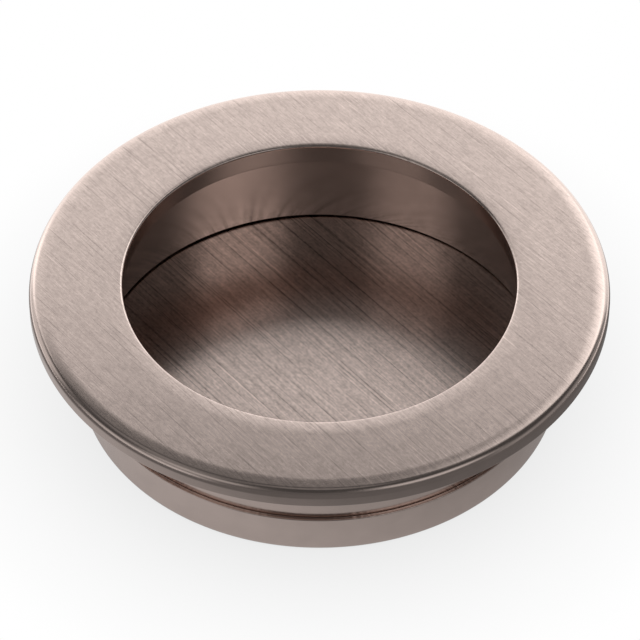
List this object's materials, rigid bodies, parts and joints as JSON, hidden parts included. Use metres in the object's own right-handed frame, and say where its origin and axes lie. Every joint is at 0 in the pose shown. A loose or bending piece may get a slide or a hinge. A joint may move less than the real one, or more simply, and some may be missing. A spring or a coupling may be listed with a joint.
{
  "type": "round recessed pull",
  "caption": "Round recessed pull for a sliding door: a flanged ring with an overhanging finger lip, closed from below by a pressed pan.",
  "frame": {"origin": "centre of the pan's underside, the lowest point of the part", "axes": "+Z along the axis of the recess, out of the door and through the flange"},
  "size_m": [0.065, 0.065, 0.015],
  "materials": {
    "brushed_nickel": "brushed nickel plating, linear grain across the flange, satin on the edge and inside the recess",
    "brushed_pan": "brushed nickel plating, linear grain on the floor, satin outside"
  },
  "bodies": {
    "root": {"ring": "brushed_nickel", "pan": "brushed_pan"}
  },
  "joints": []
}
